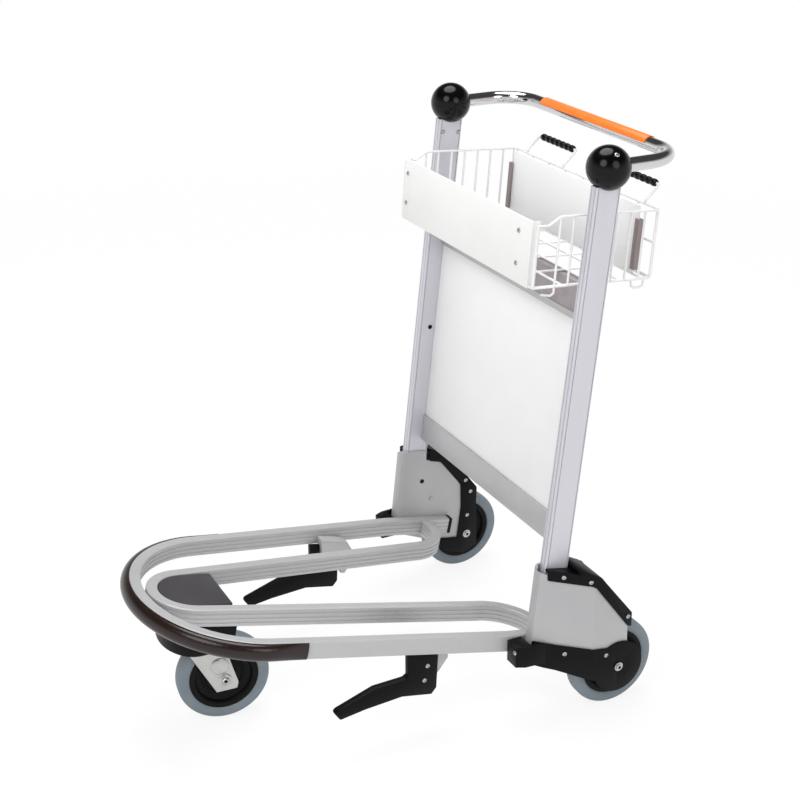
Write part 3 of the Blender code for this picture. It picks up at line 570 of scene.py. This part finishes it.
# the label is a strip bent over the upper side of the tube, so bright tube shows below it
label = {"half": 166.0, "in": 12.3, "out": 13.5, "from": math.radians(-12.0), "turn": math.radians(-156.0),
         "steps": 36, "edge": 0.4, "sharp": 60.0}
labelStart = Matrix.Rotation(label["from"], 4, "X")
strip = [(-label["half"], label["in"]), (label["half"], label["in"]),
         (label["half"], label["out"]), (-label["half"], label["out"])]
bm = bmesh.new()
face = bm.faces.new([bm.verts.new(labelStart @ Vector((x * mm, -r * mm, 0))) for x, r in strip])
bmesh.ops.spin(bm, geom=[face], cent=(0, 0, 0), axis=acrossAxis, dvec=(0, 0, 0), angle=label["turn"],
               steps=label["steps"])
softenEdges(bm, label["edge"], label["sharp"])
bm.transform(shift(0, grip["back"], post["pivotZ"]))
finishMesh("handleLabel", bm, "orangeLabel", "handle", ("handle_label_sleeve",))
print("stage: handle made")

# rear brackets, guards and wheels
guard = {"foldY": 281.0, "foldSlack": 0.5, "foldZ": 132.0, "fall": 0.283, "edge": 0.9,
         "innerFrom": 244.8, "innerTo": 248.2,
         "inner": [(345, 203), (321.6, 199.5), (322.4, 189), (323, 148), (314, 79), (272, 86), (271, 71.5),
                   (294, 50), (330, 40), (360, 52), (358, 148), (359.5, 184)]}
rear = {"x": 281.0, "y": 335.6, "axleIn": 36.5, "axleOut": 33.2, "boltRadius": 6.8, "boltHeight": 3.6}
# plugs in the bracket's and the upright's inner faces
plug = {"places": [(248.4, 233.2, 225.9), (251.9, 252.3, 556.1)],
        "profile": [(0, 0), (0, 4.6), (0.9, 4.2), (1.2, 0)], "steps": 20}
# skids: outlines as (y, z), between two places across the trolley
skid = {
    "hanger": {"node": "arm_bracket_", "from": 189.0, "to": 200.7, "edge": 1.0, "material": "satinAluminium",
               "outline": [(-17, 183), (37, 166), (50, 140), (50, 123), (30, 98), (22, 100), (20, 140),
                           (-17, 151)],
               "foot": [(-17, 183), (37, 166), (37, 156), (-17, 166.5)], "footTo": 214.0},
    "arm": {"node": "skid_arm_", "from": 201.0, "to": 215.0, "edge": 2.4, "material": "nylonBlack",
            "outline": [(-36, 168), (24, 156), (20, 78), (10, 66.5), (-48, 79), (-120, 75), (-166, 69),
                        (-176, 84), (-172, 89), (-100, 112), (-42, 113), (-36, 117)]},
}


def trimGuard(bm):
    # ahead of the fold the guard's upper edge falls evenly to the rear
    reach = (guard["foldY"] + guard["foldSlack"]) * mm
    ahead = [f for f in bm.faces if all(v.co.y < reach for v in f.verts)]
    geom = list({g for f in ahead for g in (f, *f.edges, *f.verts)})
    spot = Vector((0, guard["foldY"], guard["foldZ"])) * mm
    bmesh.ops.bisect_plane(bm, geom=geom, plane_co=spot, clear_outer=True,
                           plane_no=Vector((0, guard["fall"], 1)).normalized())
    bmesh.ops.holes_fill(bm, edges=[e for e in bm.edges if e.is_boundary], sides=0)


for name, flip in sides:
    dress("rear_bracket_" + name, "blastedSheet", "frame", width=0.7, angle=15)
    dress("upper_guard_" + name, "nylonBlack", "frame", guard["edge"])
    dress("lower_guard_" + name, "nylonBlack", "frame", guard["edge"], shape=trimGuard)
    bm = bmesh.new()
    plateInto(bm, guard["inner"], guard["innerFrom"], guard["innerTo"])
    softenEdges(bm, guard["edge"])
    bm.transform(flip)
    finishMesh("innerGuard_" + name, bm, "nylonBlack", "frame", ("inner_guard_" + name,))
    rearSpot = flip @ shift(rear["x"], rear["y"], wheel["radius"])
    makeWheel("rear_" + name, rearSpot, "rear_wheel_" + name,
              ("rear_tyre_" + name, "rear_wheel_core_" + name))
    rearEnds = [facing(rearSpot, 0, rear["axleOut"]), facing(rearSpot, math.pi, rear["axleIn"])]
    bm = bmesh.new()
    axleInto(bm, rearSpot, -rear["axleIn"], rear["axleOut"])
    for end in rearEnds:
        boltInto(bm, end, rear["boltRadius"], rear["boltHeight"])
    finishMesh("rearAxle_" + name, bm, "brightSteel", "frame", ("rear_axle_" + name,))
    # painted shade in the bolt sockets, and the plugs
    bm = bmesh.new()
    for end in rearEnds:
        socketShadeInto(bm, end, rear["boltRadius"], rear["boltHeight"])
    for place in plug["places"]:
        plugSpot = facing(flip @ shift(*place), math.pi, 0)
        latheInto(bm, plug["profile"], plugSpot, plug["steps"], closed=False)
    finishMesh("rearPlugsAndSocketShade_" + name, bm, "nylonBlack", "frame")
    for form, s in skid.items():
        bm = bmesh.new()
        plateInto(bm, s["outline"], s["from"], s["to"])
        if "foot" in s:
            plateInto(bm, s["foot"], s["to"], s["footTo"])
        softenEdges(bm, s["edge"])
        bm.transform(flip)
        finishMesh(form + "_" + name, bm, s["material"], "frame", (s["node"] + name,))
print("stage: rear made")

# basket: round white wires, drawn level as (x, y from the front, z from the floor) and then tilted
basket = {"y": 180.0, "z": 797.0, "tilt": math.radians(4.57), "deep": 236.0, "half": 230.0,
          "wire": 2.0, "wireSides": 10, "rimSides": 12, "inset": 2.3, "low": 2.0, "high": 120.0,
          "floorLines": 7, "floorCross": (2.3, 61.4, 118, 174.6, 219, 234), "floorLap": 0.1,
          "sideLines": (44, 70, 98, 126, 154, 182, 210),
          "rearLines": 9, "rearLevels": (2, 62, 120),
          # a side's rim is lower at its front; under the floor are a hook and a small loop
          "rim": [(2.3, 106), (22, 106), (44, 120), (120, 120), (234, 120)],
          "hook": [(44, 2), (44, -9), (38, -13), (20, -10)],
          "loop": [(196, 2), (199, -10), (204, -13), (216, -13), (221, -10), (224, 2)]}
basketFrame = shift(0, basket["y"], basket["z"]) @ Matrix.Rotation(-basket["tilt"], 4, "X")
wireRing = ringPoints(basket["wire"], basket["wireSides"])
rimRing = ringPoints(basket["wire"], basket["rimSides"])
rearWire = basket["deep"] - basket["wire"]


def wireInto(bm, path, ring=wireRing):
    # a wire that keeps to one upright plane turns about that plane's normal
    inPlane = all(abs(p[0] - path[0][0]) < 0.01 for p in path)
    sweepInto(bm, path, ring, acrossAxis if inPlane else upAxis)


board = {"half": 222.0, "high": 112.0, "flange": 13.0, "sheet": 1.6}


def foldBoard(bm):
    # both ends of the board are turned back
    size = Matrix.Diagonal((board["sheet"], board["flange"], board["high"], 1))
    for s in (-1, 1):
        end = bmesh.ops.create_cube(bm, size=mm)["verts"]
        middle = shift(s * (board["half"] - board["sheet"] / 2), board["flange"] / 2, board["high"] / 2)
        bmesh.ops.transform(bm, verts=end, matrix=basketFrame @ middle @ size)


def spread(half, count):
    return [-half + 2 * half * i / (count - 1) for i in range(count)]


dress("basket_front_board", "powderWhite", "frame", width=0.7, shape=foldBoard)
inside = basket["half"] - basket["inset"]
bm = bmesh.new()
for x in spread(inside, basket["floorLines"]):
    z = basket["low"] - basket["floorLap"]
    wireInto(bm, [(x, basket["inset"], z), (x, rearWire, z)])
for y in basket["floorCross"]:
    z = basket["low"] + basket["floorLap"]
    reach = inside + 2 * basket["floorLap"]
    wireInto(bm, [(-reach, y, z), (reach, y, z)])
bm.transform(basketFrame)
finishMesh("basketFloor", bm, "powderWhite", "frame", ("basket_floor_grid",))
for name, flip in sides:
    x = basket["half"] + basket["wire"]
    front, frontHigh = basket["rim"][0]
    lines = [[(front, basket["low"]), (rearWire, basket["low"])],
             [(front, basket["low"]), (front, frontHigh)],
             [(rearWire, basket["low"]), (rearWire, basket["high"])]]
    lines += [[(y, basket["low"]), (y, basket["high"])] for y in basket["sideLines"]]
    bm = bmesh.new()
    wireInto(bm, [(x, y, z) for y, z in basket["rim"]], rimRing)
    for line in lines + [basket["hook"], basket["loop"]]:
        wireInto(bm, [(x, y, z) for y, z in line])
    bm.transform(basketFrame @ flip)
    finishMesh("basketSide_" + name, bm, "powderWhite", "frame", ("basket_side_grid_" + name,))
rearHalf = basket["half"] - basket["wire"]
rearY = basket["deep"] + basket["inset"]
bm = bmesh.new()
for z in basket["rearLevels"]:
    wireInto(bm, [(-rearHalf, rearY, z), (rearHalf, rearY, z)])
for x in spread(rearHalf, basket["rearLines"]):
    wireInto(bm, [(x, rearY, basket["low"]), (x, rearY, basket["high"])])
bm.transform(basketFrame)
finishMesh("basketRear", bm, "powderWhite", "frame", ("basket_rear_grid",))

channel = {"wideShare": 0.72, "highShare": 0.86}


def trimChannel(bm):
    # the strips stop short of the board's upper and lower edges
    level = [basketFrame.inverted() @ v.co for v in bm.verts]
    middle = Vector([(min(c[k] for c in level) + max(c[k] for c in level)) / 2 for k in range(3)])
    size = Matrix.Diagonal((channel["wideShare"], 1, channel["highShare"], 1))
    aboutMiddle = Matrix.Translation(middle) @ size @ Matrix.Translation(-middle)
    bm.transform(basketFrame @ aboutMiddle @ basketFrame.inverted())


# bag bails: a bent wire with beads along its top
bail = {"y": basket["deep"] + 27.0, "z": 152.0, "foot": 122.3, "footRise": 4.0, "in": 65.0, "out": 191.0,
        "bend": [(0, 7), (1.2, 2), (4, 0)], "wire": 2.5, "wireSides": 14, "normal": Vector((0, 0.6, -0.8))}
beads = {"from": 73.0, "to": 183.0, "count": 7, "steps": 8, "waist": 3.6, "swell": 3.2, "bore": 2.8,
         "roundSteps": 28}
bailPath = [(bail["in"], rearY, bail["foot"]), (bail["in"], rearY, bail["foot"] + bail["footRise"])]
bailPath += [(bail["in"] + along, bail["y"] - short, bail["z"] - short) for along, short in bail["bend"]]
bailPath += [(bail["in"] + bail["out"] - x, y, z) for x, y, z in reversed(bailPath)]
pitch = (beads["to"] - beads["from"]) / beads["count"]
beadProfile = []
for i in range(beads["count"]):
    middle = beads["from"] + pitch * (i + 0.5)
    for k in range(beads["steps"]):
        a = math.pi * (k + 0.5) / beads["steps"]
        beadProfile.append((middle - pitch / 2 * math.cos(a), beads["waist"] + beads["swell"] * math.sin(a)))
beadProfile += [(beads["to"], beads["bore"]), (beads["from"], beads["bore"])]
dress("basket_rear_board", "boardWhite", "frame", width=0.7)
for name, flip in sides:
    dress("board_channel_" + name, "dullChannel", "frame", width=0.5, shape=trimChannel)
    bm = bmesh.new()
    sweepInto(bm, bailPath, ringPoints(bail["wire"], bail["wireSides"]), bail["normal"])
    bm.transform(basketFrame @ flip)
    finishMesh("bail_" + name, bm, "powderWhite", "frame", ("bag_bail_" + name,), angle=60)
    bm = bmesh.new()
    latheInto(bm, beadProfile, basketFrame @ flip @ shift(0, bail["y"], bail["z"]), beads["roundSteps"])
    finishMesh("bailSleeve_" + name, bm, "glossBlack", "frame", ("bail_sleeve_" + name,), angle=50)
print("stage: basket made")

# screws, as (place, facing), where the photograph shows them, and their mirror images
boardFacing = (0, -0.997, 0.08)
screws = {
    "radius": 4.2, "rise": 2.2, "steps": 20,
    "dome": [(0, 0), (0, 1), (0.45, 0.98), (0.85, 0.78), (1, 0.5), (1, 0.44), (0.35, 0.38), (0.35, 0)],
    "guard": [((293.0, 225.6, 283.4), (0.935, -0.353, 0)), ((310.3, 270.8, 270.7), (0.96, -0.279, 0)),
              ((313.3, 350.7, 182.1), (1, 0, 0)), ((274.9, 142.0, 146.4), (0, -1, 0)),
              ((298.4, 229.6, 131.9), (0.96, -0.279, 0)), ((313.3, 307.7, 114.4), (1, 0, 0)),
              ((245.4, 332.6, 207.3), (-1, 0, 0)), ((245.4, 344.3, 179.2), (-1, 0, 0)),
              ((245.4, 337.0, 125.9), (-1, 0, 0))],
    "post": [((252.0, 278.6, 941.3), (-1, 0, 0)), ((252.0, 310.6, 937.6), (-1, 0, 0)),
             ((287.3, 297.1, 1019.7), (0.658, -0.052, 0.751))],
    "arm": [((215.0, 1.5, 128.0), (1, 0, 0)), ((215.0, -4.7, 100.5), (1, 0, 0))],
    # the board's own four aren't mirrored
    "board": [((x, y, z), boardFacing)
              for x in (184.0, -210.0) for y, z in ((184.0, 884.0), (179.6, 829.0))],
}


def makeScrews(name, group, flip):
    profile = scaled(screws["dome"], screws["rise"], screws["radius"])
    bm = bmesh.new()
    for place, look in screws[group]:
        turn = acrossAxis.rotation_difference(Vector(look)).to_matrix().to_4x4()
        latheInto(bm, profile, flip @ shift(*place) @ turn, screws["steps"], closed=False)
    finishMesh(name, bm, "brightSteel", "frame")


for name, flip in sides:
    for group in ("guard", "post", "arm"):
        makeScrews("%sScrews_%s" % (group, name), group, flip)
makeScrews("boardScrews", "board", Matrix.Identity(4))
print("stage: screws made")

# studio: white paper floor, white world, broad soft lamps
paper = {"size": 160.0, "colour": "#F7F7F7", "rough": 0.9, "spec": 0.1, "near": 1.0, "far": 4.0,
         "nearWhite": 0.85}
sky = {"diffuse": 0.62, "low": 0.06, "high": 0.46, "lowWhite": 1.0, "highWhite": 0.07}
lamps = {"key": ((1.5, -2.6, 3.0), 2.2, 46.0), "fill": ((3.2, 0.6, 2.4), 2.0, 25.0),
         "top": ((-0.6, 0.2, 3.6), 2.4, 80.0)}
lampAim = Vector((0, 0, 0.45))


def makeFloor():
    bpy.ops.mesh.primitive_plane_add(size=paper["size"], location=(0, 0, 0))
    floor = bpy.context.object
    floor.name = "studioFloor"
    mat = bpy.data.materials.new("paleFloor")
    mat.use_nodes = True
    tree = mat.node_tree
    shader = tree.nodes["Principled BSDF"]
    shader.inputs["Base Color"].default_value = srgb(paper["colour"])
    shader.inputs["Roughness"].default_value = paper["rough"]
    shader.inputs["Specular IOR Level"].default_value = paper["spec"]
    ray = addNode(tree, "ShaderNodeLightPath")
    seen = addNode(tree, "ShaderNodeMath",
                   {0: ray.outputs["Is Camera Ray"], 1: ray.outputs["Is Glossy Ray"]}, operation="MAXIMUM")
    coords = addNode(tree, "ShaderNodeTexCoord")
    reach = addNode(tree, "ShaderNodeVectorMath", {0: coords.outputs["Object"]}, operation="LENGTH")
    # near the trolley the paper takes its shadow, further out it is plain white
    white = addNode(tree, "ShaderNodeMapRange",
                    {"Value": reach.outputs["Value"], "From Min": paper["near"], "From Max": paper["far"],
                     "To Min": paper["nearWhite"], "To Max": 1.0})
    share = addNode(tree, "ShaderNodeMath", {0: seen.outputs[0], 1: white.outputs["Result"]},
                    operation="MULTIPLY")
    glow = addNode(tree, "ShaderNodeEmission", {"Color": srgb("#FFFFFF"), "Strength": 1.0})
    blend = addNode(tree, "ShaderNodeMixShader",
                    {0: share.outputs[0], 1: shader.outputs[0], 2: glow.outputs[0]})
    tree.links.new(blend.outputs[0], tree.nodes["Material Output"].inputs["Surface"])
    floor.data.materials.append(mat)


def makeWorld():
    # white where the camera sees it; shiny pieces see it darken towards the ceiling
    world = bpy.data.worlds.new("studioWorld")
    bpy.context.scene.world = world
    world.use_nodes = True
    tree = world.node_tree
    back = tree.nodes["Background"]
    back.inputs["Color"].default_value = srgb("#FFFFFF")
    back.inputs["Strength"].default_value = sky["diffuse"]
    coords = addNode(tree, "ShaderNodeTexCoord")
    parts = addNode(tree, "ShaderNodeSeparateXYZ", {0: coords.outputs["Generated"]})
    ceiling = addNode(tree, "ShaderNodeMapRange",
                      {"Value": parts.outputs["Z"], "From Min": sky["low"], "From Max": sky["high"],
                       "To Min": sky["lowWhite"], "To Max": sky["highWhite"]})
    ray = addNode(tree, "ShaderNodeLightPath")
    level = addNode(tree, "ShaderNodeMath",
                    {0: ceiling.outputs["Result"], 1: ray.outputs["Is Camera Ray"]}, operation="MAXIMUM")
    shown = addNode(tree, "ShaderNodeBackground",
                    {"Color": srgb("#FFFFFF"), "Strength": level.outputs[0]})
    seen = addNode(tree, "ShaderNodeMath",
                   {0: ray.outputs["Is Camera Ray"], 1: ray.outputs["Is Glossy Ray"]}, operation="MAXIMUM")
    blend = addNode(tree, "ShaderNodeMixShader",
                    {0: seen.outputs[0], 1: back.outputs[0], 2: shown.outputs[0]})
    tree.links.new(blend.outputs[0], tree.nodes["World Output"].inputs["Surface"])


makeFloor()
makeWorld()
for name, (spot, size, power) in lamps.items():
    lamp = bpy.data.lights.new(name + "Lamp", "AREA")
    lamp.shape = "DISK"
    lamp.size = size
    lamp.energy = power
    holder = bpy.data.objects.new(name + "Lamp", lamp)
    bpy.context.scene.collection.objects.link(holder)
    holder.location = spot
    holder.rotation_euler = (lampAim - Vector(spot)).to_track_quat("-Z", "Y").to_euler()
bpy.context.scene.view_settings.view_transform = "Standard"
print("stage: studio made")
